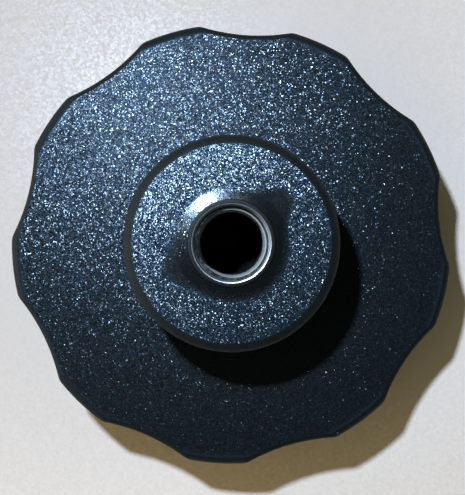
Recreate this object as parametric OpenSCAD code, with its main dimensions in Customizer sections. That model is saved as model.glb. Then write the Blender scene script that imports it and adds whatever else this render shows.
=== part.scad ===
// Fluted handwheel: a moulded wheel with nine shallow finger flutes and a
// raised boss, carrying a threaded steel insert of hexagon bar.
// The wheel stands on its plain operator face, with the boss and the thread
// pointing up along +Z. One crest of the rim lies on +X.

/* [Rim] */
// Diameter over the crests between the flutes
wheel_d = 63; // [56:1:80]
// Height of the rim, from the operator face to the grained back face
rim_h = 19; // [16:0.5:23]
// Radius of the rounded edge of the operator face
operator_edge_r = 3.5; // [2:0.5:5]
// Radius of the edge between the crests and the back face
crest_edge_r = 1.2; // [0.6:0.1:2]

/* [Finger flutes] */
// Number of flutes round the rim
flute_count = 9; // [7:1:11]
// Depth of a flute below the crests
flute_depth = 1.6; // [1:0.1:2.2]
// Radius of the hollow of a flute
flute_r = 28; // [20:1:34]
// Radius of a flute's edge at the back face
flute_back_edge_r = 0.6; // [0.3:0.1:1]
// Radius of a flute's edge at the operator face
flute_operator_edge_r = 2.5; // [1.5:0.5:4]

/* [Boss] */
// Diameter of the boss under its rounded top edge
boss_d = 27.3; // [26:0.1:34]
// Height of the boss above the back face
boss_h = 16; // [12:0.5:19]
// Radius of the boss's top edge
boss_edge_r = 1.1; // [0.5:0.1:2]
// Radius of the fillet where the boss meets the back face
boss_root_r = 0.8; // [0.4:0.1:1.5]
// Mould draft of the boss's wall, in degrees
boss_draft = 1; // [0.5:0.25:2]
// Diameter of the smooth raised collar round the insert
collar_d = 14.6; // [14:0.2:18]
// Rise of the collar from its foot to the insert
collar_rise = 0.25; // [0.1:0.05:0.5]

/* [Threaded insert] */
// Major diameter of the thread
thread_d = 10; // [8:1:10]
// Pitch of the thread
thread_pitch = 1.5; // [1:0.25:1.5]
// Depth of the threaded hole, from the insert's end face
thread_depth = 20; // [12:1:22]
// Hexagon bar that the insert is turned from, across its flats
insert_across_flats = 14; // [14:0.5:16]
// Length of the insert
insert_length = 26; // [25:0.5:27]
// Diameter of the turned nose that comes through the boss
nose_d = 11; // [10.8:0.1:12]
// Length of the nose
nose_length = 3; // [2:0.5:4]
// How far the insert's end face stands above the collar
nose_proud = 0.05; // [0:0.05:0.2]
// Width of the retaining groove
groove_w = 2.5; // [1.5:0.5:4]
// Diameter at the bottom of the retaining groove
groove_d = 12; // [11.5:0.5:13]

/* [Hidden] */
$fn = 180;

wheel_r = wheel_d / 2;
boss_r = boss_d / 2;
boss_top = rim_h + boss_h;
insert_top = boss_top + collar_rise + nose_proud;
insert_base = insert_top - insert_length;

flute_pitch = 360 / flute_count;
flute_axis_r = wheel_r - flute_depth + flute_r;
// Angle between the flute's middle and its corner with a crest, seen from the
// flute's axis
flute_corner_angle = acos((flute_axis_r ^ 2 + flute_r ^ 2 - wheel_r ^ 2)
    / (2 * flute_axis_r * flute_r));
flute_sweep = 2 * flute_corner_angle + 10;
cutter_wall = flute_depth + 3;
// A flute's edge arc runs this far past the face, so that the two cross
edge_overrun = 0.03;
clear = 1;

// Height of an ISO thread's profile between its major and minor diameters
thread_height = thread_pitch * sqrt(3) / 2 * 5 / 8;
thread_minor_r = thread_d / 2 - thread_height;
mouth_r = thread_d / 2 + 0.1;
drill_point_angle = 118;
drill_point_h = thread_minor_r / tan(drill_point_angle / 2);
hex_corner_r = insert_across_flats / 2 / cos(30);
hex_chamfer = 0.8;

// Half section of a disc with a drafted wall and rounded edges, from the
// axis outward. r is the wall's radius at the top, before the rounding.
module disc_section(r, h, draft, top_edge, base_edge) {
    wall_base = r + h * tan(draft);
    top_x = r + top_edge * tan(draft) - top_edge / cos(draft);
    base_x = wall_base - base_edge * tan(draft) - base_edge / cos(draft);
    polygon([
        [0, 0],
        [base_x, 0],
        [base_x + base_edge * cos(draft), base_edge + base_edge * sin(draft)],
        [top_x + top_edge * cos(draft), h - top_edge + top_edge * sin(draft)],
        [top_x, h],
        [0, h]
    ]);
    translate([top_x, h - top_edge]) circle(r = top_edge);
    if (base_edge > 0)
        translate([base_x, base_edge]) circle(r = base_edge);
}

// Half section of the fillet round the boss's foot
module boss_root_section() {
    foot_r = boss_r + boss_h * tan(boss_draft);
    difference() {
        translate([foot_r - clear, rim_h - clear])
            square([clear + boss_root_r, clear + boss_root_r]);
        translate([foot_r + boss_root_r, rim_h + boss_root_r])
            circle(r = boss_root_r);
    }
}

// Half section of the collar, which rises toward the insert
module collar_section() {
    polygon([
        [0, boss_top - clear],
        [collar_d / 2, boss_top - clear],
        [collar_d / 2, boss_top],
        [nose_d / 2, boss_top + collar_rise],
        [0, boss_top + collar_rise]
    ]);
}

// The wheel before its flutes are cut
module turned_blank() {
    rotate_extrude() {
        disc_section(wheel_r, rim_h, 0, crest_edge_r, operator_edge_r);
        translate([0, rim_h - clear])
            disc_section(boss_r, boss_h + clear, boss_draft, boss_edge_r, 0);
        boss_root_section();
        collar_section();
    }
}

// Half section of the cutter for a flute, from its inner wall out to the
// flute's hollow. It flares out at both faces, which leaves the flute's
// edges rounded.
module flute_cutter_section() {
    back_arc_z = rim_h - flute_back_edge_r + edge_overrun;
    operator_arc_z = flute_operator_edge_r - edge_overrun;
    inner_r = flute_r - cutter_wall;
    difference() {
        union() {
            translate([inner_r, -clear])
                square([cutter_wall, rim_h + 2 * clear]);
            translate([inner_r, back_arc_z])
                square([cutter_wall + flute_back_edge_r, rim_h + clear - back_arc_z]);
            translate([inner_r, -clear])
                square([cutter_wall + flute_operator_edge_r, operator_arc_z + clear]);
        }
        translate([flute_r + flute_back_edge_r, back_arc_z])
            circle(r = flute_back_edge_r);
        translate([flute_r + flute_operator_edge_r, operator_arc_z])
            circle(r = flute_operator_edge_r);
    }
}

// The flutes are turned about axes outside the rim, each cutter a short
// stretch of a ring
module finger_flutes() {
    for (i = [0 : flute_count - 1])
        rotate([0, 0, (i + 0.5) * flute_pitch])
            translate([flute_axis_r, 0, 0])
                rotate([0, 0, 180 - flute_sweep / 2])
                    rotate_extrude(angle = flute_sweep)
                        flute_cutter_section();
}

// Outside of the insert: hexagon bar with turned corners, a retaining groove
// round its middle and a round nose at its mouth
module insert_outside() {
    bar_length = insert_length - nose_length;
    translate([0, 0, insert_base + bar_length - clear])
        cylinder(d = nose_d, h = nose_length + clear);
    difference() {
        translate([0, 0, insert_base])
            intersection() {
                cylinder(r = hex_corner_r, h = bar_length, $fn = 6);
                rotate_extrude()
                    polygon([
                        [0, 0],
                        [hex_corner_r - hex_chamfer, 0],
                        [hex_corner_r + clear, hex_chamfer + clear],
                        [hex_corner_r + clear, bar_length - hex_chamfer - clear],
                        [hex_corner_r - hex_chamfer, bar_length],
                        [0, bar_length]
                    ]);
            }
        translate([0, 0, insert_base + (bar_length - groove_w) / 2])
            difference() {
                cylinder(r = hex_corner_r + clear, h = groove_w);
                translate([0, 0, -clear])
                    cylinder(d = groove_d, h = groove_w + 2 * clear);
            }
    }
}

// Blind hole at the thread's minor diameter, with a drill point and a
// countersunk mouth
module threaded_hole() {
    mouth_h = mouth_r - thread_minor_r;
    translate([0, 0, insert_top])
        rotate_extrude()
            polygon([
                [0, clear],
                [mouth_r + clear, clear],
                [mouth_r, 0],
                [thread_minor_r, -mouth_h],
                [thread_minor_r, -thread_depth],
                [0, -thread_depth - drill_point_h]
            ]);
}

module wheel_body() {
    color([0.09, 0.13, 0.18])
        difference() {
            turned_blank();
            finger_flutes();
            insert_outside();
        }
}

module threaded_insert() {
    color([0.62, 0.62, 0.6])
        difference() {
            insert_outside();
            threaded_hole();
        }
}

wheel_body();
threaded_insert();
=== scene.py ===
"""Looks of the fluted handwheel: the grained moulding, its threaded steel insert and the table it lies on."""

import logging
import math
from dataclasses import dataclass, field, replace
from enum import Enum, IntEnum

import bpy
import numpy as np
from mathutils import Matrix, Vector


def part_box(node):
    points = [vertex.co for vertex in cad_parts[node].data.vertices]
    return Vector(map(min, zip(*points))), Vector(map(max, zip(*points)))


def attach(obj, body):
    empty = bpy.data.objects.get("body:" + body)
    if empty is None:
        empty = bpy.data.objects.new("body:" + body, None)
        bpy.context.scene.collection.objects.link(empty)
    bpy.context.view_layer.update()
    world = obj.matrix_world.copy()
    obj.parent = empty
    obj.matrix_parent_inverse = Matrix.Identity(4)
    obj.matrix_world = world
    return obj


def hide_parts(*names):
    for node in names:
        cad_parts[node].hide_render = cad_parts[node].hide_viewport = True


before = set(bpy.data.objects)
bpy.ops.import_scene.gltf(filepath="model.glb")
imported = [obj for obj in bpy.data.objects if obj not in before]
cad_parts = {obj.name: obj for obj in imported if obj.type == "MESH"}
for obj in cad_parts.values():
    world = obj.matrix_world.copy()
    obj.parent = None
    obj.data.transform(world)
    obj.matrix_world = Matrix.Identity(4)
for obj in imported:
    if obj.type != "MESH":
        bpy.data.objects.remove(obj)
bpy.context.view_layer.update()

BODY = "root"
MM = 0.001
LOG = logging.getLogger("handwheel")
Socket = bpy.types.NodeSocket
Colour = tuple[float, float, float, float]
Span = tuple[float, float]
Values = np.ndarray | list[float] | float


class Mark(str, Enum):
    """Names of the values that the meshes carry for their materials, from 0 to 1."""

    GRAIN = "grain"
    POLISH = "polish"
    EDGE = "edge"
    BRIGHT = "bright"
    TURNING = "turning"


class MouldingZone(IntEnum):
    """The moulding's finishes, in the order of its materials."""

    FACE = 0
    BOSS = 1
    EDGE = 2


class InsertZone(IntEnum):
    """The insert's finishes, in the order of its materials."""

    TURNED = 0
    THREAD = 1


# ---------------------------------------------------------------- surfaces


def smooth_min(a: np.ndarray, b: np.ndarray, blend: float) -> np.ndarray:
    """The lower of two surfaces, with a parabola where they are closer together than blend."""
    overlap = np.clip(blend - np.abs(a - b), 0, None) / blend
    return np.minimum(a, b) - overlap**2 * blend / 4


def smooth_step(value: np.ndarray, low: float, high: float) -> np.ndarray:
    """0 below low and 1 above high, with the cubic 3t^2 - 2t^3 between them."""
    t = np.clip((value - low) / (high - low), 0, 1)
    return t * t * (3 - 2 * t)


def round_inset(under: np.ndarray, radius: float) -> np.ndarray:
    """How far a quarter circle stands back at each depth under its start: r - sqrt(r^2 - depth^2)."""
    return radius - np.sqrt(radius**2 - np.clip(under, 0, radius) ** 2)


@dataclass(frozen=True)
class BluntEdge:
    """An edge that leaves a wall smoothly and meets a flat face at a blunt corner.

    rise is its height along the wall and inset its width on the face, in metres. stop is the angle short
    of level at which its arc ends, in radians.
    """

    rise: float
    inset: float
    stop: float = math.radians(40)

    def profile(self, over: np.ndarray) -> np.ndarray:
        """How far the edge stands back from the wall.

        With t from 0 at the edge's start to 1 at the face, and c the cosine of stop, the distance grows
        as 1 less the root of 1 - (c t) squared. That is a circle's arc, stretched to the edge's own rise
        and inset.

        Args:
            over: Heights above the edge's start.

        Returns:
            The distance from the wall, 0 below the start.
        """
        part = np.clip(over / self.rise, 0, 1) * math.cos(self.stop)
        return self.inset * (1 - np.sqrt(1 - part**2)) / (1 - math.sin(self.stop))


@dataclass
class Stretch:
    """Some rows of a surface that goes round the wheel's axis.

    radius and height are arrays of rows by columns, in metres. marks holds an array of the same shape for
    each named value, and a value that it leaves out is 0. zone is the finish of the faces that end in
    these rows.
    """

    radius: np.ndarray
    height: np.ndarray
    marks: dict[Mark, np.ndarray] = field(default_factory=dict)
    zone: int = 0

    def reversed(self) -> "Stretch":
        """The same rows in the opposite order."""
        marks = {mark: value[::-1] for mark, value in self.marks.items()}
        return replace(self, radius=self.radius[::-1], height=self.height[::-1], marks=marks)

    def finished(self, zone: int) -> "Stretch":
        """The same rows with another finish."""
        return replace(self, zone=zone)


def placed(name: str, data: bpy.types.ID) -> bpy.types.Object:
    """Makes an object from a mesh, a lens or a light and puts it in the scene.

    Args:
        name: The new object's name.
        data: What it shows.

    Returns:
        The new object, at the origin.
    """
    made = bpy.data.objects.new(name, data)
    bpy.context.scene.collection.objects.link(made)
    return made


@dataclass(frozen=True)
class Lathe:
    """Turns sections into surfaces, with a column of points at each of its angles, in radians."""

    angle: np.ndarray

    def rows(self, values: Values) -> np.ndarray:
        """Repeats one value for each row along all the columns, as an array of rows by columns."""
        return np.repeat(np.asarray(values, float)[:, None], len(self.angle), axis=1)

    def revolved(self, radius: Values, height: Values, **marks: Values) -> Stretch:
        """A stretch that is round: every column has the same section.

        Args:
            radius: Radius of each row, or one for all of them.
            height: Height of each row, or one for all of them.
            **marks: For a Mark's value, one number or one for each row.

        Returns:
            The stretch.
        """
        radius, height = np.broadcast_arrays(np.asarray(radius, float), np.asarray(height, float))
        filled = {Mark(k): self.rows(np.broadcast_to(v, radius.shape)) for k, v in marks.items()}
        return Stretch(self.rows(radius), self.rows(height), filled)

    def faces(self, count: int) -> tuple[np.ndarray, np.ndarray]:
        """Faces of a closed mesh whose points are numbered row by row, with its two poles after them.

        Neighbouring rows are joined by quads that wrap round, and the first and last rows by a fan of
        triangles to a pole.

        Args:
            count: Number of rows.

        Returns:
            The corners of all the faces in turn, and each face's number of corners.
        """
        columns = len(self.angle)
        here = np.arange(count * columns).reshape(count, columns)
        after = np.roll(here, -1, axis=1)
        quads = np.stack([here[:-1], after[:-1], after[1:], here[1:]], axis=-1).reshape(-1, 4)
        first = np.stack([after[0], here[0], np.full(columns, count * columns)], axis=-1)
        last = np.stack([here[-1], after[-1], np.full(columns, count * columns + 1)], axis=-1)
        sizes = np.concatenate([np.full(len(quads), 4), np.full(2 * columns, 3)])
        return np.concatenate([quads.ravel(), first.ravel(), last.ravel()]), sizes

    def closed_mesh(self, name: str, stretches: list[Stretch], sharp: float) -> bpy.types.Object:
        """Joins stretches into one closed mesh round the axis, with a point on the axis at each end.

        A row's points are (r cos a, r sin a, z). The path runs so that the faces point outwards.

        Args:
            name: The new object's name.
            stretches: The rows, from the path's start to its end.
            sharp: Angle between faces above which an edge is shaded sharp, in radians.

        Returns:
            The new object, at the origin.
        """
        radius = np.vstack([s.radius for s in stretches])
        height = np.vstack([s.height for s in stretches])
        ring = np.stack([radius * np.cos(self.angle), radius * np.sin(self.angle), height], axis=-1)
        poles = np.array([[0, 0, height[0, 0]], [0, 0, height[-1, 0]]])
        points = np.vstack([ring.reshape(-1, 3), poles])
        corners, sizes = self.faces(len(radius))
        row_zones = np.concatenate([np.full(len(s.radius), int(s.zone)) for s in stretches])
        zones = np.repeat([*row_zones[1:], row_zones[0], row_zones[-1]], len(self.angle))

        mesh = bpy.data.meshes.new(name)
        mesh.vertices.add(len(points))
        mesh.vertices.foreach_set("co", points.ravel())
        mesh.loops.add(len(corners))
        mesh.loops.foreach_set("vertex_index", corners)
        mesh.polygons.add(len(sizes))
        mesh.polygons.foreach_set("loop_start", np.concatenate([[0], np.cumsum(sizes)[:-1]]))
        mesh.polygons.foreach_set("use_smooth", np.ones(len(sizes), bool))
        mesh.polygons.foreach_set("material_index", zones)
        mesh.update(calc_edges=True)
        mesh.validate()
        mesh.set_sharp_from_angle(angle=sharp)

        for mark in sorted({m for s in stretches for m in s.marks}, key=lambda m: m.value):
            value = np.vstack([s.marks.get(mark, np.zeros_like(s.radius)) for s in stretches])
            layer = mesh.attributes.new(mark.value, "FLOAT", "POINT")
            layer.data.foreach_set("value", np.concatenate([value.ravel(), [value[0, 0], value[-1, 0]]]))
        return placed(name, mesh)


# ---------------------------------------------------------------- node trees


class NodeSheet:
    """A node tree with short calls for adding and joining nodes."""

    def __init__(self, tree: bpy.types.NodeTree) -> None:
        """Takes the tree of a material, a world or a group, and empties it."""
        self.tree = tree
        tree.nodes.clear()

    def feed(self, entry: Socket, value: object) -> None:
        """Feeds a node's input.

        Args:
            entry: The input.
            value: A value for it, or the socket that feeds it.
        """
        if isinstance(value, Socket):
            self.tree.links.new(value, entry)
        else:
            entry.default_value = value

    def add(self, kind: str, inputs: dict | None = None, **settings: object) -> bpy.types.Node:
        """Adds a node.

        Args:
            kind: The node's type, such as "ShaderNodeMath".
            inputs: For an input's name or number, a value or the socket that feeds it.
            **settings: Properties of the node.

        Returns:
            The new node.
        """
        node = self.tree.nodes.new(kind)
        for key, value in settings.items():
            setattr(node, key, value)
        for key, value in (inputs or {}).items():
            self.feed(node.inputs[key], value)
        return node

    def math(self, operation: str, *values: object, clamp: bool = False) -> Socket:
        """Adds a Math node on two or three values or sockets and returns its result."""
        node = self.add("ShaderNodeMath", dict(enumerate(values)), operation=operation, use_clamp=clamp)
        return node.outputs[0]

    def times(self, a: object, b: object) -> Socket:
        """Multiplies two numbers or sockets."""
        return self.math("MULTIPLY", a, b)

    def rest(self, share: Socket) -> Socket:
        """What is left of 1 when a share is taken away."""
        return self.math("SUBTRACT", 1.0, share)

    def vector(self, operation: str, a: object, b: object, result: str = "Vector") -> Socket:
        """Adds a Vector Math node on two vectors or sockets and returns one of its results."""
        return self.add("ShaderNodeVectorMath", {0: a, 1: b}, operation=operation).outputs[result]

    def step(self, value: Socket, low: object, high: object) -> Socket:
        """Maps value smoothly from 0 at low to 1 at high and returns the result."""
        inputs = {"Value": value, "From Min": low, "From Max": high}
        return self.add("ShaderNodeMapRange", inputs, interpolation_type="SMOOTHSTEP").outputs["Result"]

    def remap(self, value: Socket, low: object, high: object) -> Socket:
        """Maps 0 to 1 of value onto low to high and returns the result."""
        inputs = {"Value": value, "To Min": low, "To Max": high}
        return self.add("ShaderNodeMapRange", inputs).outputs["Result"]

    def around(self, value: Socket, middle: float, spread: Span) -> Socket:
        """Maps 0 to 1 of value onto a range that starts and ends at spread's two steps from middle."""
        return self.remap(value, middle + spread[0], middle + spread[1])

    def between(self, amount: Socket, a: object, b: object) -> Socket:
        """Mixes two numbers, from a at amount 0 to b at amount 1."""
        return self.add("ShaderNodeMix", {0: amount, 2: a, 3: b}).outputs[0]

    def blend(self, amount: object, a: object, b: object, mode: str = "MIX") -> Socket:
        """Mixes two colours.

        Args:
            amount: Share of the second colour, a number or a socket.
            a: The first colour or the socket that feeds it.
            b: The second colour or the socket that feeds it.
            mode: The node's blend type.

        Returns:
            The mixed colour.
        """
        node = self.add("ShaderNodeMix", data_type="RGBA", blend_type=mode)
        entries = {entry.identifier: entry for entry in node.inputs}
        for key, value in (("Factor_Float", amount), ("A_Color", a), ("B_Color", b)):
            self.feed(entries[key], value)
        return next(s for s in node.outputs if s.identifier == "Result_Color")

    def shaded(self, colour: object, level: Socket) -> Socket:
        """Multiplies a colour by a level that is the same for red, green and blue."""
        grey = self.add("ShaderNodeCombineColor", {0: level, 1: level, 2: level}).outputs[0]
        return self.blend(1.0, colour, grey, "MULTIPLY")

    def leaning(self, tilt: Socket, amount: object) -> Socket:
        """The surface's normal, leaned by a tilt times an amount and made one long again.

        Args:
            tilt: The tilt, a vector.
            amount: How much of it, a number or a socket.

        Returns:
            The leaning normal.
        """
        lean = self.add("ShaderNodeVectorMath", {0: tilt, "Scale": amount}, operation="SCALE")
        plain = self.add("ShaderNodeNewGeometry").outputs["Normal"]
        both = self.vector("ADD", plain, lean.outputs["Vector"])
        return self.add("ShaderNodeVectorMath", {0: both}, operation="NORMALIZE").outputs["Vector"]

    def mark(self, mark: Mark) -> Socket:
        """Reads one of the mesh's named values."""
        return self.add("ShaderNodeAttribute", attribute_name=mark.value).outputs["Fac"]

    def place(self) -> Socket:
        """Reads the point's place in the object's own axes."""
        return self.add("ShaderNodeTexCoord").outputs["Object"]

    def effect(self, effect: "Effect", inputs: dict) -> bpy.types.Node:
        """Places an effect's node group and feeds its inputs."""
        return self.add("ShaderNodeGroup", inputs, node_tree=effect.tree())

    def surface(self, inputs: dict) -> None:
        """Adds the material's shader, feeds its inputs and joins it to the output."""
        shader = self.add("ShaderNodeBsdfPrincipled", inputs)
        self.add("ShaderNodeOutputMaterial", {"Surface": shader.outputs["BSDF"]})


@dataclass(frozen=True)
class GroupSocket:
    """One named input or output of a node group."""

    name: str
    kind: str = "NodeSocketFloat"
    default: float | None = None


class Effect:
    """A node group for an effect that more than one material uses. It is built once, when first placed."""

    title = "effect"
    inputs: tuple[GroupSocket, ...] = ()
    outputs: tuple[GroupSocket, ...] = ()

    def fill(self, sheet: NodeSheet, given: dict[str, Socket]) -> dict[str, Socket]:
        """Draws the group's inside.

        Args:
            sheet: The group's own sheet.
            given: The group's inputs by name.

        Returns:
            The sockets for its outputs by name.
        """
        raise NotImplementedError

    def tree(self) -> bpy.types.NodeTree:
        """Finds the group's tree, and builds it if it isn't there yet.

        Returns:
            The tree.
        """
        found = bpy.data.node_groups.get(self.title)
        if found:
            return found
        tree = bpy.data.node_groups.new(self.title, "ShaderNodeTree")
        for way, sockets in (("INPUT", self.inputs), ("OUTPUT", self.outputs)):
            for item in sockets:
                made = tree.interface.new_socket(item.name, in_out=way, socket_type=item.kind)
                if item.default is not None:
                    made.default_value = item.default
        sheet = NodeSheet(tree)
        entry = sheet.add("NodeGroupInput")
        sheet.add("NodeGroupOutput", self.fill(sheet, {s.name: entry.outputs[s.name] for s in self.inputs}))
        return tree


class PebbleGrain(Effect):
    """Small pips with glittering facets, as a spark-eroded mould leaves them.

    Each cell of a Voronoi pattern is a pip, and Cell is its random number. Pick is a second one: what
    is left of Cell times pick_factor over a whole number. Tilt leans every pip at random: the sum of two
    random vectors, one for each cell of a fine and of a coarser pattern, less its mean. Glint is low for
    most pips and high for a few: a third random number to the power of Rarity, on top of Floor.
    """

    title = "pebble_grain"
    coarse_scale = 0.75
    pick_factor = 7.3
    inputs = (
        GroupSocket("Vector", "NodeSocketVector"),
        GroupSocket("Pips per Metre", default=3000.0),
        GroupSocket("Floor", default=0.1),
        GroupSocket("Rarity", default=4.0),
    )
    outputs = (
        GroupSocket("Cell"),
        GroupSocket("Pick"),
        GroupSocket("Glint"),
        GroupSocket("Tilt", "NodeSocketVector"),
    )

    def fill(self, sheet: NodeSheet, given: dict[str, Socket]) -> dict[str, Socket]:
        """Draws the pips.

        Args:
            sheet: The group's own sheet.
            given: The group's inputs by name.

        Returns:
            The sockets for its outputs by name.
        """
        place, scale = given["Vector"], given["Pips per Metre"]
        wide = sheet.times(scale, self.coarse_scale)
        fine = sheet.add("ShaderNodeTexVoronoi", {"Vector": place, "Scale": scale}).outputs["Color"]
        coarse = sheet.add("ShaderNodeTexVoronoi", {"Vector": place, "Scale": wide}).outputs["Color"]
        rare, cell, _ = sheet.add("ShaderNodeSeparateColor", {"Color": fine}).outputs
        return {
            "Cell": cell,
            "Pick": sheet.math("FRACT", sheet.times(cell, self.pick_factor)),
            "Glint": sheet.remap(sheet.math("POWER", rare, given["Rarity"]), given["Floor"], 1.0),
            "Tilt": sheet.vector("SUBTRACT", sheet.vector("ADD", fine, coarse), (1.0, 1.0, 1.0)),
        }


class DustSpecks(Effect):
    """Sparse small specks of dust: the middles of the few cells whose random number is the highest."""

    title = "dust_specks"
    smallest = 0.4
    core = 0.5
    inputs = (
        GroupSocket("Vector", "NodeSocketVector"),
        GroupSocket("Cells per Metre", default=900.0),
        GroupSocket("Share", default=0.03),
        GroupSocket("Size", default=0.14),
    )
    outputs = (GroupSocket("Mask"),)

    def fill(self, sheet: NodeSheet, given: dict[str, Socket]) -> dict[str, Socket]:
        """Draws the specks.

        Their radius is from smallest to all of Size, and they are solid up to core of it.

        Args:
            sheet: The group's own sheet.
            given: The group's inputs by name.

        Returns:
            The sockets for its outputs by name.
        """
        inputs = {"Vector": given["Vector"], "Scale": given["Cells per Metre"]}
        cells = sheet.add("ShaderNodeTexVoronoi", inputs)
        pick, _, width = sheet.add("ShaderNodeSeparateColor", {"Color": cells.outputs["Color"]}).outputs
        chosen = sheet.math("GREATER_THAN", pick, sheet.rest(given["Share"]))
        size = sheet.times(given["Size"], sheet.remap(width, self.smallest, 1.0))
        outside = sheet.step(cells.outputs["Distance"], sheet.times(size, self.core), size)
        return {"Mask": sheet.times(sheet.rest(outside), chosen)}


class HandlingWear(Effect):
    """Patchy wear: a mark on the mesh, broken up by noise of the given size."""

    title = "handling_wear"
    limits = (0.35, 0.65)
    inputs = (
        GroupSocket("Vector", "NodeSocketVector"),
        GroupSocket("Mark", default=0.0),
        GroupSocket("Patches per Metre", default=600.0),
        GroupSocket("Breakup", default=0.5),
    )
    outputs = (GroupSocket("Mask"), GroupSocket("Patches"))

    def fill(self, sheet: NodeSheet, given: dict[str, Socket]) -> dict[str, Socket]:
        """Draws the patches, and the mask: the mark plus or minus the patches, taken through a smooth step.

        Args:
            sheet: The group's own sheet.
            given: The group's inputs by name.

        Returns:
            The sockets for its outputs by name.
        """
        inputs = {"Vector": given["Vector"], "Scale": given["Patches per Metre"]}
        noise = sheet.add("ShaderNodeTexNoise", {**inputs, "Detail": 4.0, "Roughness": 0.65}).outputs["Fac"]
        shift = sheet.times(sheet.math("SUBTRACT", noise, 0.5), given["Breakup"])
        mask = sheet.step(sheet.math("ADD", given["Mark"], shift), *self.limits)
        return {"Mask": mask, "Patches": noise}


# ---------------------------------------------------------------- finishes


class Finish:
    """A finish that is drawn as the nodes of a material."""

    title: str

    def draw(self, sheet: NodeSheet) -> None:
        """Draws the finish on the material's own sheet."""
        raise NotImplementedError

    def material(self) -> bpy.types.Material:
        """Makes the finish into a material.

        Returns:
            The new material.
        """
        material = bpy.data.materials.new(self.title)
        material.use_nodes = True
        self.draw(NodeSheet(material.node_tree))
        return material


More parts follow.
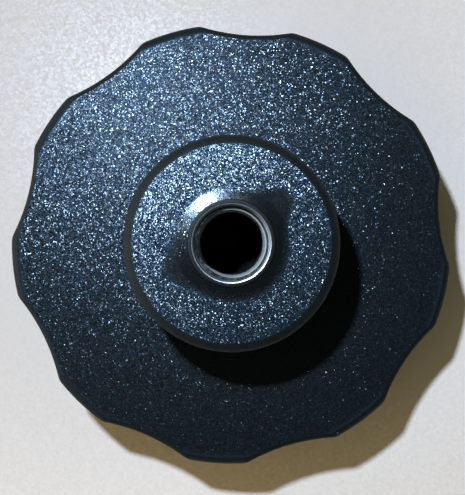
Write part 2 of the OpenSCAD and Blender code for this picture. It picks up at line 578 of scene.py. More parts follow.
@dataclass(frozen=True)
class GrainedMoulding(Finish):
    """Near-black blue plastic with glittering pips that wear smooth.

    The ground is plain plastic, between deep and raised in colour, with a tinted gloss. Its pips lean by
    ground_tilt of what the facets lean. facet_share of the pips are facets: paler, partly metal and
    smoother. skin_weight is the strength of a clear skin that few pips have. Where the grain is off, the
    surface is satin, and where it is polished, it is smooth and nearly metal. Each spread is what a
    roughness varies by, down and up.
    """

    title: str
    tint: Colour
    specular_level: float
    roughness: float
    pips_per_metre: float
    facet_tilt: float
    facet_share: float = 0.0
    facet_colour: Colour = (0.02, 0.025, 0.029, 1.0)
    facet_metal: float = 1.0
    facet_spread: Span = (-0.03, 0.03)
    share_softness: float = 0.02
    ground_roughness: float = 0.45
    ground_tilt: float = 0.35
    skin_weight: float = 0.0
    skin_roughness: float = 0.45
    glint_floor: float = 0.03
    glint_rarity: float = 5.0
    satin_roughness: float = 0.38
    satin_spread: Span = (-0.08, 0.10)
    polish_roughness: float = 0.19
    polish_spread: Span = (-0.04, 0.08)
    polish_colour: Colour = (0.034, 0.042, 0.046, 1.0)
    polish_metal: float = 0.92
    polish_limits: Span = (0.62, 0.98)
    polish_by_patch: float = 0.5
    polish_by_pip: float = 0.6
    spared_glint: Span = (0.05, 0.5)
    smoothing: float = 0.86
    patches_per_metre: float = 700.0
    patch_swell: Span = (0.85, 1.15)
    deep: Colour = (0.0026, 0.0045, 0.0048, 1.0)
    raised: Colour = (0.0052, 0.0086, 0.0094, 1.0)
    dust: Colour = (0.42, 0.44, 0.46, 1.0)
    dust_cover: float = 0.6

    def wear(self, sheet: NodeSheet, grain: bpy.types.Node, patches: Socket) -> tuple[Socket, Socket]:
        """Finds where the moulding is polished and where it keeps its grain.

        The polish is the mesh's mark plus shares of the patches and of each pip's random number, taken
        through a smooth step. It takes the grain off, least where a pip glints most. The mesh's mark
        for edges takes the grain off too.

        Args:
            sheet: The material's own sheet.
            grain: The node of the pips.
            patches: The patchy noise.

        Returns:
            The polish and the grain, from 0 to 1.
        """
        patchy = sheet.times(sheet.math("SUBTRACT", patches, 0.5), self.polish_by_patch)
        by_pip = sheet.times(grain.outputs["Cell"], self.polish_by_pip)
        ready = sheet.math("ADD", sheet.mark(Mark.POLISH), sheet.math("ADD", patchy, by_pip))
        polish = sheet.step(ready, *self.polish_limits)
        spared = sheet.step(grain.outputs["Glint"], *self.spared_glint)
        smoothed = sheet.times(polish, sheet.remap(spared, self.smoothing, 0.0))
        rubbed = sheet.rest(sheet.mark(Mark.EDGE))
        kept = sheet.times(sheet.rest(smoothed), rubbed)
        return polish, sheet.times(sheet.mark(Mark.GRAIN), kept)

    def draw(self, sheet: NodeSheet) -> None:
        """Draws the ground, the facets, the polish and the dust, and the way that the pips lean.

        Args:
            sheet: The material's own sheet.
        """
        place = sheet.place()
        pips = {
            "Vector": place,
            "Pips per Metre": self.pips_per_metre,
            "Floor": self.glint_floor,
            "Rarity": self.glint_rarity,
        }
        grain = sheet.effect(PebbleGrain(), pips)
        cell = grain.outputs["Cell"]
        wear_inputs = {"Vector": place, "Patches per Metre": self.patches_per_metre}
        patches = sheet.effect(HandlingWear(), wear_inputs).outputs["Patches"]
        dust = sheet.effect(DustSpecks(), {"Vector": place}).outputs["Mask"]
        polish, grained = self.wear(sheet, grain, patches)

        limit = 1.0 - self.facet_share
        chosen = sheet.step(grain.outputs["Pick"], limit - self.share_softness, limit + self.share_softness)
        facet = sheet.times(chosen, grained)
        facet_metal = sheet.times(facet, self.facet_metal)
        polish_metal = sheet.times(polish, self.polish_metal)

        ground = sheet.blend(cell, self.deep, self.raised)
        dusty = sheet.blend(sheet.times(dust, self.dust_cover), ground, self.dust)
        shine = sheet.blend(polish, self.facet_colour, self.polish_colour)
        satin = sheet.around(patches, self.satin_roughness, self.satin_spread)
        rough = sheet.between(grained, satin, self.ground_roughness)
        rough = sheet.between(facet, rough, sheet.around(cell, self.roughness, self.facet_spread))
        polished = sheet.around(patches, self.polish_roughness, self.polish_spread)

        swell = sheet.times(grained, sheet.remap(patches, *self.patch_swell))
        lean = sheet.times(swell, sheet.remap(chosen, self.ground_tilt, 1.0))
        lean = sheet.times(lean, self.facet_tilt)
        inputs = {
            "Base Color": sheet.blend(sheet.math("MAXIMUM", facet, polish), dusty, shine),
            "Metallic": sheet.math("MAXIMUM", facet_metal, polish_metal),
            "Roughness": sheet.between(polish, rough, polished),
            "Normal": sheet.leaning(grain.outputs["Tilt"], lean),
            "Specular IOR Level": self.specular_level,
            "Specular Tint": self.tint,
        }
        if self.skin_weight > 0:
            glint = sheet.times(grain.outputs["Glint"], self.skin_weight)
            inputs["Coat Weight"] = sheet.times(glint, swell)
            inputs["Coat Roughness"] = self.skin_roughness
        sheet.surface(inputs)


@dataclass(frozen=True)
class TurnedSteel(Finish):
    """Steel, blackened where left alone and bright where a tool bared it; deep in the hole the black is
    painted shade.
    """

    title: str = "turned_steel"
    metallic: float = 1.0
    bright: Colour = (0.28, 0.32, 0.35, 1.0)
    blackened: Colour = (0.014, 0.015, 0.015, 1.0)
    bright_roughness: float = 0.32
    black_roughness: float = 0.45
    patches_per_metre: float = 1500.0
    breakup: float = 0.5
    lines_per_metre: float = 26000.0
    line_height: float = 0.004 * MM
    line_shade: Span = (0.75, 1.1)

    def draw(self, sheet: NodeSheet) -> None:
        """Draws the black and the bared steel, and the fine lines of the turning.

        Args:
            sheet: The material's own sheet.
        """
        wear_inputs = {
            "Vector": sheet.place(),
            "Mark": sheet.mark(Mark.BRIGHT),
            "Patches per Metre": self.patches_per_metre,
            "Breakup": self.breakup,
        }
        bare = sheet.effect(HandlingWear(), wear_inputs).outputs["Mask"]
        line_inputs = {"W": sheet.mark(Mark.TURNING), "Scale": self.lines_per_metre}
        lines = sheet.add("ShaderNodeTexNoise", line_inputs, noise_dimensions="1D").outputs["Fac"]
        colour = sheet.blend(bare, self.blackened, self.bright)
        bump_inputs = {"Strength": 1.0, "Distance": self.line_height, "Height": lines}
        sheet.surface(
            {
                "Base Color": sheet.shaded(colour, sheet.remap(lines, *self.line_shade)),
                "Metallic": self.metallic,
                "Roughness": sheet.remap(bare, self.black_roughness, self.bright_roughness),
                "Normal": sheet.add("ShaderNodeBump", bump_inputs).outputs["Normal"],
            }
        )


@dataclass(frozen=True)
class PaleTableTop(Finish):
    """A pale, faintly glittering table top with painted shade near the lamp's foot, so that it looks evenly
    lit.
    """

    title: str = "pale_table_top"
    colour: Colour = (0.905, 0.826, 0.752, 1.0)
    far_glow: Colour = (0.53, 0.56, 0.61, 1.0)
    no_glow: Colour = (0.0, 0.0, 0.0, 1.0)
    far_limits: Span = (115.0 * MM, 300.0 * MM)
    # painted shade: share of the table's colour that is kept at the lamp's foot
    near_painted_shade: float = 0.57
    painted_shade_power: float = 2.2
    pips_per_metre: float = 2900.0
    pip_tilt: float = 0.09
    glint_floor: float = 0.0
    glint_rarity: float = 1.4
    roughness: float = 0.6
    specular_level: float = 0.2
    skin_weight: float = 1.0
    skin_roughness: float = 0.39
    lamp_foot: tuple[float, float, float] = (0.0, 0.0, 0.0)
    lamp_height: float = 180.0 * MM

    def draw(self, sheet: NodeSheet) -> None:
        """Draws the tone, the faint pips and the far glow.

        The lamp lights the table by the cube of the cosine of its rays, 1 / (1 + (r/h)^2)^1.5 at the
        distance r from its foot, and near its foot the skin's gloss adds to that. The tone is painted shade
        that undoes this: near_painted_shade times 1 + (r/h)^2 to the power of painted_shade_power, and never
        above 1, darkens the colour. Out of the lamp's reach the camera alone sees a pale glow.

        Args:
            sheet: The material's own sheet.
        """
        place = sheet.place()
        pips = {
            "Vector": place,
            "Pips per Metre": self.pips_per_metre,
            "Floor": self.glint_floor,
            "Rarity": self.glint_rarity,
        }
        grain = sheet.effect(PebbleGrain(), pips)
        away = sheet.vector("DISTANCE", place, self.lamp_foot, "Value")
        ratio = sheet.math("POWER", sheet.math("DIVIDE", away, self.lamp_height), 2.0)
        fall = sheet.math("POWER", sheet.math("ADD", ratio, 1.0), self.painted_shade_power)
        # painted shade: darker near the lamp's foot, to cancel the lamp's pool of light
        tone = sheet.math("MULTIPLY", fall, self.near_painted_shade, clamp=True)
        seen = sheet.add("ShaderNodeLightPath").outputs["Is Camera Ray"]
        far = sheet.times(sheet.step(away, *self.far_limits), seen)
        sheet.surface(
            {
                # the table's colour with the painted shade near the lamp's foot
                "Base Color": sheet.shaded(self.colour, tone),
                "Roughness": self.roughness,
                "Normal": sheet.leaning(grain.outputs["Tilt"], self.pip_tilt),
                "Specular IOR Level": self.specular_level,
                "Coat Weight": sheet.times(grain.outputs["Glint"], self.skin_weight),
                "Coat Roughness": self.skin_roughness,
                "Emission Color": sheet.blend(far, self.no_glow, self.far_glow),
                "Emission Strength": 1.0,
            }
        )


# ---------------------------------------------------------------- the wheel

# The rows of a quarter circle, as angles, and of a blunt edge, as shares of its rise.
QUARTER = np.linspace(0, 1, 13) * math.pi / 2
EDGE_ROWS = np.array([0.0, 0.14, 0.27, 0.40, 0.52, 0.63, 0.73, 0.82, 0.90, 0.96, 0.99, 1.0])


@dataclass
class InsertShape:
    """The outside of the insert: hexagon bar with a retaining groove and a round nose."""

    top: float
    base: float
    across_flats: float = 14.0 * MM
    corner_chamfer: float = 0.8 * MM
    chamfer_rows: int = 4
    nose_radius: float = 5.5 * MM
    nose_length: float = 3.0 * MM
    nose_edge: float = 0.10 * MM
    nose_band: float = 0.6 * MM
    groove_width: float = 2.5 * MM
    groove_radius: float = 6.0 * MM

    def shoulder(self) -> float:
        """Height at which the hexagon ends and the nose begins."""
        return self.top - self.nose_length

    def corner_radius(self) -> float:
        """Radius over the hexagon's corners: half its width over the cosine of 30 degrees."""
        return self.across_flats / 2 / math.cos(math.pi / 6)

    def bar(self, height: np.ndarray, lathe: Lathe) -> Stretch:
        """Rows of the hexagon bar, whose corners a cone turns off at both ends.

        The hexagon's radius is half its width over the cosine of the angle from the nearest flat's
        middle.

        Args:
            height: Heights of the rows.
            lathe: The lathe of the piece.

        Returns:
            The rows.
        """
        sixth = math.pi / 3
        hexagon = self.across_flats / 2 / np.cos((lathe.angle % sixth) - sixth / 2)
        from_end = np.minimum(height - self.base, self.shoulder() - height)
        cone = self.corner_radius() - self.corner_chamfer + from_end
        return Stretch(np.minimum(hexagon[None, :], cone[:, None]), lathe.rows(height))

    def outside(self, lathe: Lathe) -> list[Stretch]:
        """Rows of the outside, from near the middle of the hidden end up to a band below the nose's edge.

        Args:
            lathe: The lathe of the piece.

        Returns:
            The stretches in order.
        """
        shoulder = self.shoulder()
        middle = (self.base + shoulder) / 2
        low, high = middle - self.groove_width / 2, middle + self.groove_width / 2
        end = self.bar(np.full(self.chamfer_rows, self.base), lathe)
        share = np.linspace(0.2, 1.0, self.chamfer_rows)
        end.radius = np.minimum(end.radius, lathe.rows(share * (self.corner_radius() - self.corner_chamfer)))
        chamfer = np.linspace(0, self.corner_chamfer, self.chamfer_rows)
        return [
            end,
            self.bar(self.base + chamfer[1:], lathe),
            self.bar(np.array([low]), lathe),
            lathe.revolved(self.groove_radius, [low, high]),
            self.bar(np.array([high]), lathe),
            self.bar(shoulder - chamfer[::-1], lathe),
            lathe.revolved(self.nose_radius, [shoulder]),
            lathe.revolved(self.nose_radius, [self.top - self.nose_band]),
        ]


@dataclass(frozen=True)
class Horn:
    """A blunt reach of the polished patch.

    direction and width are in degrees, and reach is how far it goes beyond the patch, in metres.
    """

    direction: float
    reach: float
    width: float


@dataclass
class WheelBody:
    """The moulding: fluted rim, back face, boss, worn collar and the cavity that holds the insert."""

    insert: InsertShape
    crest_radius: float
    boss_top: float
    node: str = "wheel_body"
    face_finish: GrainedMoulding = GrainedMoulding(
        title="moulding_face",
        tint=(0.13, 0.50, 1.0, 1.0),
        specular_level=0.225,
        roughness=0.205,
        pips_per_metre=7000.0,
        facet_tilt=0.252,
        facet_share=0.70,
        facet_colour=(0.0215, 0.0268, 0.0300, 1.0),
        facet_metal=0.78,
        ground_roughness=0.44,
        deep=(0.0050, 0.0068, 0.0062, 1.0),
        raised=(0.0085, 0.0113, 0.0104, 1.0),
        skin_weight=0.4,
        satin_roughness=0.86,
    )
    boss_finish: GrainedMoulding = GrainedMoulding(
        title="moulding_boss",
        tint=(0.10, 0.46, 1.0, 1.0),
        specular_level=0.44,
        roughness=0.235,
        pips_per_metre=9600.0,
        facet_tilt=0.258,
        facet_share=0.72,
        facet_colour=(0.049, 0.0610, 0.0675, 1.0),
        facet_metal=0.92,
    )
    edge_finish: GrainedMoulding = GrainedMoulding(
        title="moulding_edge",
        tint=(0.85, 0.95, 1.0, 1.0),
        specular_level=0.27,
        roughness=0.50,
        pips_per_metre=6200.0,
        facet_tilt=0.22,
        ground_roughness=0.50,
        ground_tilt=1.0,
        satin_roughness=0.55,
    )
    rim_height: float = 19.0 * MM
    flute_count: int = 9
    flute_depth: float = 1.6 * MM
    flute_radius: float = 28.0 * MM
    crest_edge: BluntEdge = BluntEdge(1.25 * MM, 1.05 * MM)
    flute_edge: BluntEdge = BluntEdge(0.75 * MM, 0.75 * MM)
    operator_crest_edge: float = 3.5 * MM
    operator_flute_edge: float = 2.5 * MM
    corner_blend: float = 0.17 * MM
    boss_radius: float = 13.65 * MM
    boss_edge: BluntEdge = BluntEdge(1.25 * MM, 1.20 * MM)
    boss_root: float = 0.8 * MM
    boss_draft: float = math.radians(1.0)
    collar_radius: float = 7.3 * MM
    collar_inner_slope: float = math.tan(math.radians(7.0))
    collar_outer_slope: float = math.tan(math.radians(9.5))
    patch_radius: float = 6.6 * MM
    patch_fade: Span = (-1.2 * MM, 1.4 * MM)
    horns: tuple[Horn, ...] = (
        Horn(55.0, 2.75 * MM, 18.0),
        Horn(142.0, 0.5 * MM, 30.0),
        Horn(218.7, 2.1 * MM, 22.0),
        Horn(330.0, 0.45 * MM, 50.0),
    )
    scuff: Span = (1.7 * MM, 0.9 * MM)
    operator_grain: float = 0.5
    wall_grain: float = 0.4
    root_grain: float = 0.3
    columns_per_flute: int = 70
    corner_crowding: float = 5.0
    corner_width: float = math.radians(1.3)
    sharp: float = math.radians(32)
    lathe: Lathe = field(init=False)

    def __post_init__(self) -> None:
        """Sets the lathe's columns."""
        self.lathe = Lathe(self.columns())

    def columns(self) -> np.ndarray:
        """Angles round the axis, closer together at the corners between a crest and its flutes.

        The columns stand at equal steps of a running sum of 1 plus a bell curve at each corner.

        Returns:
            The angles, in radians.
        """
        pitch = 2 * math.pi / self.flute_count
        corner = pitch / 2 - self.corner_angle()
        fine = np.linspace(-pitch / 2, pitch / 2, 4001)
        bell = np.exp(-(((np.abs(fine) - corner) / self.corner_width) ** 2))
        density = 1 + self.corner_crowding * bell
        total = np.concatenate([[0], np.cumsum((density[1:] + density[:-1]) / 2)])
        wanted = np.arange(self.columns_per_flute) / self.columns_per_flute * total[-1]
        one = np.interp(wanted, total, fine)
        return (one[None, :] + pitch * np.arange(self.flute_count)[:, None]).ravel()

    def flute_axis(self) -> float:
        """Distance of a flute's own axis from the wheel's axis."""
        return self.crest_radius - self.flute_depth + self.flute_radius

    def corner_angle(self) -> float:
        """Angle at the axis between a flute's middle and its corner with a crest, by the cosine rule."""
        axis, crest = self.flute_axis(), self.crest_radius
        return math.acos((axis**2 + crest**2 - self.flute_radius**2) / (2 * axis * crest))

    def outline(self, height: np.ndarray) -> np.ndarray:
        """Radius of the rim at each height and column.

        A crest is a circle about the wheel's axis. A flute is a circle about its own axis, at distance d
        from the wheel's: at the angle u from its middle its near side is d cos u less the root of f
        squared - (d sin u) squared, where f is the flute's radius. The rim is the smooth lower one of the
        two. Both stand back at the edges.

        Args:
            height: Heights of the rows.

        Returns:
            An array of rows by columns.
        """
        pitch = 2 * math.pi / self.flute_count
        crest = self.crest_radius - self.crest_edge.profile(height - self.rim_height + self.crest_edge.rise)
        crest = crest - round_inset(self.operator_crest_edge - height, self.operator_crest_edge)
        flare = self.flute_edge.profile(height - self.rim_height + self.flute_edge.rise)
        flare = flare + round_inset(self.operator_flute_edge - height, self.operator_flute_edge)
        hollow = (self.flute_radius + flare)[:, None]
        from_middle = (self.lathe.angle % pitch) - pitch / 2
        across = self.flute_axis() * np.sin(from_middle)[None, :]
        inside = hollow**2 - across**2
        near = self.flute_axis() * np.cos(from_middle)[None, :] - np.sqrt(np.clip(inside, 0, None))
        flute = np.where(inside > 0, near, 2 * self.crest_radius)
        return smooth_min(crest[:, None], flute, self.corner_blend)

    def boss_wall(self, height: Values) -> Values:
        """Radius of the boss's wall, which the draft widens downwards from the start of its edge."""
        return self.boss_radius + (self.boss_top - self.boss_edge.rise - height) * math.tan(self.boss_draft)

    def rim_rows(self, height: np.ndarray, grain: float) -> Stretch:
        """Rows of the rim's wall.

        Args:
            height: Heights of the rows.
            grain: Grain of the wall.

        Returns:
            The rows.
        """
        stretch = self.lathe.revolved(self.crest_radius, height, grain=grain)
        stretch.radius = self.outline(height)
        return stretch.finished(MouldingZone.EDGE)

    def face_rows(self, height: float, share: np.ndarray, inner: float, grain: float) -> Stretch:
        """Rows of a flat face between a circle and the rim's outline at that height.

        Its wear starts at scuff's first distance inside the crests and is full at the second.

        Args:
            height: Height of the face.
            share: For each row, 0 on the circle and 1 on the outline.
            inner: Radius of the circle.
            grain: Grain of the face.

        Returns:
            The rows.
        """
        edge = self.outline(np.array([height]))
        radius = inner + (edge - inner) * share[:, None]
        start, end = self.scuff
        scuffed = smooth_step(radius, self.crest_radius - start, self.crest_radius - end)
        marks = {Mark.GRAIN: np.full_like(radius, grain), Mark.EDGE: scuffed}
        return Stretch(radius, np.full_like(radius, height), marks, MouldingZone.FACE)

    def top_rows(self, radius: np.ndarray, height: Values) -> Stretch:
        """Rows of the boss's face or its collar: grained, and polished near the insert.

        The polished patch's limit is its radius plus one bell curve over the angle for each horn, and the
        polish fades across it.

        Args:
            radius: Radius of each row.
            height: Height of each row, or one for all of them.

        Returns:
            The rows.
        """
        stretch = self.lathe.revolved(radius, height, grain=1.0)
        limit = np.full_like(stretch.radius, self.patch_radius)
        for horn in self.horns:
            away = (np.degrees(self.lathe.angle) - horn.direction + 180) % 360 - 180
            limit = limit + horn.reach * np.exp(-((away / horn.width) ** 2))
        stretch.marks[Mark.POLISH] = 1 - smooth_step(stretch.radius - limit, *self.patch_fade)
        return stretch.finished(MouldingZone.BOSS)

    def collar_height(self, radius: np.ndarray) -> np.ndarray:
        """Height of the collar above the boss's face at each radius.

        The height is the running sum of its slope from the foot inwards. The slope rises smoothly from
        level over the outer third and then eases evenly towards the insert.

        Args:
            radius: Radii of the rows.

        Returns:
            The height at each radius.
        """
        width = self.collar_radius - self.insert.nose_radius
        t = np.linspace(0, 1, 401)
        easing = self.collar_outer_slope + (self.collar_inner_slope - self.collar_outer_slope) * t
        slope = easing * smooth_step(t, -0.05, 0.35)
        rise = np.concatenate([[0], np.cumsum((slope[1:] + slope[:-1]) / 2 * np.diff(t))]) * width
        return np.interp((self.collar_radius - radius) / width, t, rise)

    def rim(self) -> list[Stretch]:
        """Rows of the operator face, the rim's wall and the back face, up to the boss's fillet.

        Returns:
            The stretches in order.
        """
        lower = self.operator_crest_edge * (1 - np.cos(QUARTER))
        upper = self.rim_height - self.crest_edge.rise * (1 - EDGE_ROWS)
        operator_share = np.linspace(0.06, 1, 12)[:-1]
        back_share = np.append([0.999, 0.995, 0.985, 0.97], np.linspace(0.94, 0, 18))
        fillet = self.boss_wall(self.rim_height) + self.boss_root
        return [
            self.face_rows(0.0, operator_share, 0.0, self.operator_grain),
            self.rim_rows(lower, self.wall_grain),
            self.rim_rows(np.linspace(lower[-1], upper[0], 9)[1:-1], self.wall_grain),
            self.rim_rows(upper, 0.0),
            self.face_rows(self.rim_height, back_share, fillet, 1.0),
        ]

    def boss(self) -> list[Stretch]:
        """Rows of the boss: its fillet, wall, edge, face and collar.

        Returns:
            The stretches in order.
        """
        top, rim, root = self.boss_top, self.rim_height, self.boss_root
        turn = QUARTER[2::2]
        root_r = self.boss_wall(rim) + root * (1 - np.sin(turn))
        root_z = rim + root * (1 - np.cos(turn))
        edge_z = top - self.boss_edge.rise * (1 - EDGE_ROWS)
        edge_r = self.boss_radius - self.boss_edge.profile(edge_z - edge_z[0])
        wall_z = np.linspace(rim + root, edge_z[0], 8)[1:-1]
        near_edge = edge_r[-1] - np.array([0.03, 0.12, 0.3]) * MM
        face_r = np.concatenate([near_edge, np.linspace(edge_r[-1] - 0.5 * MM, self.collar_radius, 22)])
        collar_r = np.linspace(self.collar_radius, self.insert.nose_radius, 15)[1:]
        walls = [
            self.lathe.revolved(root_r, root_z, grain=self.root_grain),
            self.lathe.revolved(self.boss_wall(wall_z), wall_z, grain=self.wall_grain),
            self.lathe.revolved(edge_r, edge_z),
        ]
        return [
            *(wall.finished(MouldingZone.EDGE) for wall in walls),
            self.top_rows(face_r, top),
            self.top_rows(collar_r, top + self.collar_height(collar_r)),
        ]

    def build(self) -> bpy.types.Object:
        """Builds the moulding's mesh, down into the cavity that the insert fills, and dresses it.

        Returns:
            The finished piece, which stands for its CAD node.
        """
        # The band on the insert's nose is left out, because the collar ends where the cavity begins.
        outside = self.insert.outside(self.lathe)[:-1]
        cavity = [stretch.reversed().finished(MouldingZone.EDGE) for stretch in reversed(outside)]
        stretches = [*self.rim(), *self.boss(), *cavity]
        piece = self.lathe.closed_mesh("handwheel_moulding", stretches, self.sharp)
        for finish in (self.face_finish, self.boss_finish, self.edge_finish):
            piece.data.materials.append(finish.material())
        return piece


@dataclass
class ThreadedInsert:
    """The steel bush: its hidden hexagon outside, its nose, countersunk mouth, thread and drill point."""

    shape: InsertShape
    node: str = "threaded_insert"
    turned_finish: TurnedSteel = TurnedSteel()
    thread_finish: TurnedSteel = TurnedSteel(
        "thread_steel", metallic=0.3, bright=(0.33, 0.38, 0.39, 1.0), bright_roughness=0.5
    )
    major_radius: float = 5.0 * MM
    pitch: float = 1.5 * MM
    mouth_radius: float = 5.0 * MM
    mouth_arc: float = 0.5 * MM
    thread_depth: float = 20.0 * MM
    run_out: Span = (0.2, 1.8)
    crest_blend: float = 0.12 * MM
    drill_point: float = math.radians(118)
    lip_bare: Span = (0.03, 0.14)
    crest_bare: Span = (0.08 * MM, 0.30 * MM)
    bare_from: Span = (0.6 * MM, 1.0 * MM)
    painted_shade_depths: Span = (7.0 * MM, 12.0 * MM)
    cone_bare: float = 0.40
    row_limits: Span = (1.2 * MM, 4.5 * MM)
    row_steps: tuple[float, float, float] = (0.035 * MM, 0.06 * MM, 0.12 * MM)
    columns: int = 180
    sharp: float = math.radians(30)

    def minor_radius(self) -> float:
        """Radius over the thread's crests, five eighths of the full triangle inside the major radius."""
        return self.major_radius - self.pitch * math.sqrt(3) / 2 * 5 / 8

    def thread(self, depth: np.ndarray, angle: np.ndarray) -> np.ndarray:
        """Radius of the right-handed thread at each depth and angle.

        The phase is the height in pitches less the share of a turn. Within a sixteenth of a pitch of a
        groove's middle the wall is at the major radius. From there it comes in at 60 degrees to the axis
        until it meets the minor radius, and the last turns run out.

        Args:
            depth: Depths of the rows below the insert's end face.
            angle: The columns' angles.

        Returns:
            An array of rows by columns.
        """
        phase = (-depth[:, None] / self.pitch - angle[None, :] / (2 * math.pi)) % 1.0
        from_groove = np.abs(phase - 0.5) * self.pitch
        flank = self.major_radius - (from_groove - self.pitch / 16) * math.sqrt(3)
        radius = smooth_min(flank, np.full_like(flank, self.major_radius), self.crest_blend)
        radius = -smooth_min(-radius, np.full_like(flank, -self.minor_radius()), self.crest_blend)
        first, last = self.run_out
        depth_left = (self.thread_depth - depth)[:, None]
        full = smooth_step(depth_left, first * self.pitch, last * self.pitch)
        return self.minor_radius() + (radius - self.minor_radius()) * full

    def hole(self, lathe: Lathe, start: float, start_depth: float) -> Stretch:
        """Rows of the threaded hole, which a cone at 45 degrees opens from the end of the mouth.

        The cone is a little bare. Below it the thread's crests are bare: that rises over the depths of
        bare_from. Over those of painted_shade_depths the bright crests fade into blackened steel, which is
        painted shade deep in the hole.

        Args:
            lathe: The lathe of the piece.
            start: Radius at the end of the mouth.
            start_depth: Depth at the end of the mouth.

        Returns:
            The rows.
        """
        limits = (start_depth + 0.02 * MM, *self.row_limits, self.thread_depth)
        spans = zip(limits[:-1], limits[1:], self.row_steps)
        depth = np.concatenate([np.arange(low, high, step) for low, high, step in spans])
        cone = start - (depth - start_depth)
        radius = np.maximum(self.thread(depth, lathe.angle), cone[:, None])
        low, high = self.crest_bare
        crest = 1 - smooth_step(radius, self.minor_radius() + low, self.minor_radius() + high)
        # painted shade: the bright crests fade into blackened steel deeper in the hole
        bare = smooth_step(depth, *self.bare_from) * (1 - smooth_step(depth, *self.painted_shade_depths))
        on_cone = self.cone_bare * (depth < self.bare_from[0])
        marks = {Mark.BRIGHT: np.maximum(crest * lathe.rows(bare), lathe.rows(on_cone))}
        return Stretch(radius, lathe.rows(self.shape.top - depth), marks, InsertZone.THREAD)

    def stretches(self, lathe: Lathe) -> list[Stretch]:
        """All rows, from the middle of the hidden end round the outside and down the hole.

        Args:
            lathe: The lathe of the piece.

        Returns:
            The stretches in order.
        """
        shape = self.shape
        top, edge = shape.top, shape.nose_edge
        turn = np.linspace(0, math.pi / 2, 6)
        nose_r = shape.nose_radius - edge * (1 - np.cos(turn))
        nose_z = top - edge * (1 - np.sin(turn))
        lip = np.linspace(0, math.pi / 4, 9)
        lip_r = self.mouth_radius - self.mouth_arc * np.sin(lip)
        lip_z = top - self.mouth_arc * (1 - np.cos(lip))
        point_share = np.array([1.0, 0.7, 0.4, 0.1])
        point_depth = self.minor_radius() / math.tan(self.drill_point / 2) * (1 - point_share)
        return [
            *shape.outside(lathe),
            lathe.revolved(nose_r, nose_z),
            lathe.revolved(lip_r[0] + np.array([0.10, 0.03]) * MM, top),
            lathe.revolved(lip_r, lip_z, bright=smooth_step(lip, *self.lip_bare)),
            self.hole(lathe, float(lip_r[-1]), float(top - lip_z[-1])),
            lathe.revolved(self.minor_radius() * point_share, top - self.thread_depth - point_depth),
        ]

    def build(self) -> bpy.types.Object:
        """Builds the insert's mesh and dresses it.

        The turning mark is the length of the path up to each row, so that the tool's lines follow it.

        Returns:
            The finished piece, which stands for its CAD node.
        """
        lathe = Lathe(np.arange(self.columns) / self.columns * 2 * math.pi)
        stretches = self.stretches(lathe)
        run = 0.0
        for stretch in stretches:
            across, along = np.diff(stretch.radius[:, 0]), np.diff(stretch.height[:, 0])
            step = np.append([0.0], np.hypot(across, along))
            stretch.marks[Mark.TURNING] = lathe.rows(run + np.cumsum(step))
            run += float(step.sum())
        piece = lathe.closed_mesh("insert_bush", stretches, self.sharp)
        for finish in (self.turned_finish, self.thread_finish):
            piece.data.materials.append(finish.material())
        return piece


# ---------------------------------------------------------------- the studio


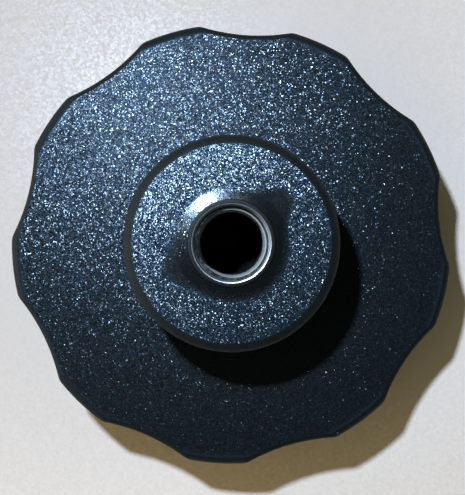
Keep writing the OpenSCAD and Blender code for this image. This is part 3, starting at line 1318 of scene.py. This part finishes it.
@dataclass
class Studio:
    """The table, the lamp, the fill light and the camera over the wheel."""

    camera_height: float = 145.0 * MM
    focal_pixels: float = 887.0
    image_height_pixels: float = 495.0
    sensor_width: float = 36.0
    clip_start: float = 5.0 * MM
    roll: float = math.radians(13.9)
    axis_offset: tuple[float, float] = (0.13 * MM, -0.51 * MM)
    lamp_offset: tuple[float, float] = (-34.5 * MM, 52.1 * MM)
    lamp_height: float = 180.0 * MM
    lamp_diameter: float = 8.5 * MM
    lamp_watts: float = 0.34
    lamp_colour: tuple[float, float, float] = (0.88, 1.04, 1.28)
    fill_colour: Colour = (0.095, 0.095, 0.060, 1.0)
    side_colour: Colour = (1.34, 0.96, 0.46, 1.0)
    gloss_colour: Colour = (0.04, 0.045, 0.045, 1.0)
    window_colour: Colour = (3.0, 3.2, 3.3, 1.0)
    backdrop: Colour = (0.72, 0.72, 0.72, 1.0)
    table_size: float = 1.6

    def turned(self, offset: tuple[float, float]) -> Vector:
        """Turns an offset in the camera's own axes into the wheel's axes.

        Args:
            offset: The part to the camera's right and the part to its top, in metres.

        Returns:
            The same offset in the wheel's axes.
        """
        x, y = offset
        cosine, sine = math.cos(self.roll), math.sin(self.roll)
        return Vector((x * cosine - y * sine, x * sine + y * cosine, 0.0))

    def add_table(self) -> None:
        """Lays a flat table top under the wheel."""
        half = self.table_size / 2
        corners = [(-half, -half, 0), (half, -half, 0), (half, half, 0), (-half, half, 0)]
        mesh = bpy.data.meshes.new("table_top")
        mesh.from_pydata(corners, [], [(0, 1, 2, 3)])
        foot = tuple(self.turned(self.lamp_offset))
        mesh.materials.append(PaleTableTop(lamp_foot=foot, lamp_height=self.lamp_height).material())
        placed("table_top", mesh)

    def add_camera(self) -> None:
        """Hangs the camera straight above the wheel and rolls it against the wheel's own axes."""
        lens = bpy.data.cameras.new("camera")
        lens.sensor_fit = "AUTO"
        lens.sensor_width = self.sensor_width
        lens.lens = self.focal_pixels * self.sensor_width / self.image_height_pixels
        lens.clip_start = self.clip_start
        camera = placed("camera", lens)
        camera.location = self.turned(self.axis_offset) + Vector((0, 0, self.camera_height))
        camera.rotation_euler = (0, 0, self.roll)
        bpy.context.scene.camera = camera

    def add_lamp(self) -> None:
        """Hangs a small round lamp beside the camera, aimed at the middle of the wheel's foot."""
        light = bpy.data.lights.new("lamp", "AREA")
        light.shape = "DISK"
        light.size = self.lamp_diameter
        light.energy = self.lamp_watts
        light.color = self.lamp_colour
        lamp = placed("lamp", light)
        lamp.location = self.turned(self.lamp_offset) + Vector((0, 0, self.lamp_height))
        lamp.rotation_euler = (-lamp.location).to_track_quat("-Z", "Y").to_euler()
        lamp.visible_camera = False

    def add_fill(self) -> None:
        """Fills the shadows with a warm light that is strongest from the left, behind a pale backdrop.

        The fill's share of the side colour is the square of the direction's part along the camera's
        left. In gloss the room is darker, with a paler window at the left: the fifth power of the same
        part.
        """
        world = bpy.data.worlds.new("studio")
        world.use_nodes = True
        bpy.context.scene.world = world
        sheet = NodeSheet(world.node_tree)
        rays = sheet.add("ShaderNodeLightPath").outputs
        way = sheet.add("ShaderNodeTexCoord").outputs["Generated"]
        along = sheet.vector("DOT_PRODUCT", way, tuple(self.turned((-1.0, 0.0))), "Value")
        towards = sheet.math("MAXIMUM", along, 0.0)
        soft = sheet.blend(sheet.math("POWER", towards, 2.0), self.fill_colour, self.side_colour)
        gloss = sheet.blend(sheet.math("POWER", towards, 5.0), self.gloss_colour, self.window_colour)
        colour = sheet.blend(rays["Is Glossy Ray"], soft, gloss)
        fill = sheet.add("ShaderNodeBackground", {"Color": colour, "Strength": 1.0}).outputs[0]
        seen = sheet.add("ShaderNodeBackground", {"Color": self.backdrop, "Strength": 1.0}).outputs[0]
        mixed = sheet.add("ShaderNodeMixShader", {0: rays["Is Camera Ray"], 1: fill, 2: seen}).outputs[0]
        sheet.add("ShaderNodeOutputWorld", {"Surface": mixed})

    def build(self) -> None:
        """Sets up the table, the lights and the camera."""
        self.add_table()
        self.add_camera()
        self.add_lamp()
        self.add_fill()
        bpy.context.scene.view_settings.view_transform = "Standard"


def dress(piece: bpy.types.Object, node: str) -> None:
    """Puts a finished piece in its CAD node's place and reports it.

    Args:
        piece: The finished piece.
        node: The CAD node that it stands for.
    """
    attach(piece, BODY)
    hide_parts(node)
    LOG.info("%s: %d points, %d faces", piece.name, len(piece.data.vertices), len(piece.data.polygons))


def main() -> None:
    logging.basicConfig(level=logging.INFO, format="%(name)s: %(message)s")
    _, body_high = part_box("wheel_body")
    insert_low, insert_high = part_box("threaded_insert")
    collar_rise = 0.25 * MM
    shape = InsertShape(top=insert_high.z, base=insert_low.z)
    body = WheelBody(insert=shape, crest_radius=body_high.x, boss_top=body_high.z - collar_rise)
    dress(body.build(), body.node)
    bush = ThreadedInsert(shape=shape)
    dress(bush.build(), bush.node)
    Studio().build()


if __name__ == "__main__":
    main()
